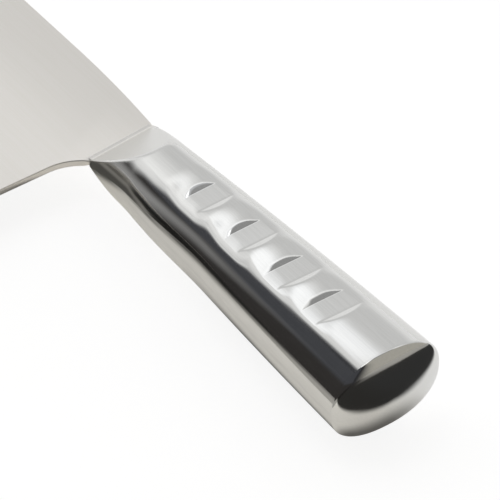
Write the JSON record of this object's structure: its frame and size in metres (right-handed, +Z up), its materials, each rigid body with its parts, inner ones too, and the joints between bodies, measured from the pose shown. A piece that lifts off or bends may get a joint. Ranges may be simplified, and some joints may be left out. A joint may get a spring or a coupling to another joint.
{
  "type": "chinese cleaver",
  "caption": "All stainless steel kitchen cleaver: broad flat satin blade welded to a hollow polished handle with finger dimples, lying on its side",
  "frame": {"origin": "on the table, under the middle of the knife's box as it lies on its right face", "axes": "+X to the butt along the knife's length, +Y to the spine, +Z up out of the left face; the toe and the handle's nose touch the table, so the blade leans 2.6 degrees"},
  "size_m": [0.3308, 0.1022, 0.0287],
  "materials": {
    "satin_steel": "fine satin, ground along the blade",
    "polished_steel": "pressed stainless steel, buffed to a soft mirror",
    "ground_weld": "weld bead ground flush and buffed",
    "neck_weld": "small fillet weld, wiped smooth"
  },
  "bodies": {
    "root": {"blade": "satin_steel", "handle_shell_left": "polished_steel", "handle_shell_right": "polished_steel", "butt_cap": "polished_steel", "seam_weld_spine": "ground_weld", "seam_weld_belly": "ground_weld", "neck_weld_left": "neck_weld", "neck_weld_right": "neck_weld", "cap_weld": "ground_weld"}
  },
  "joints": []
}
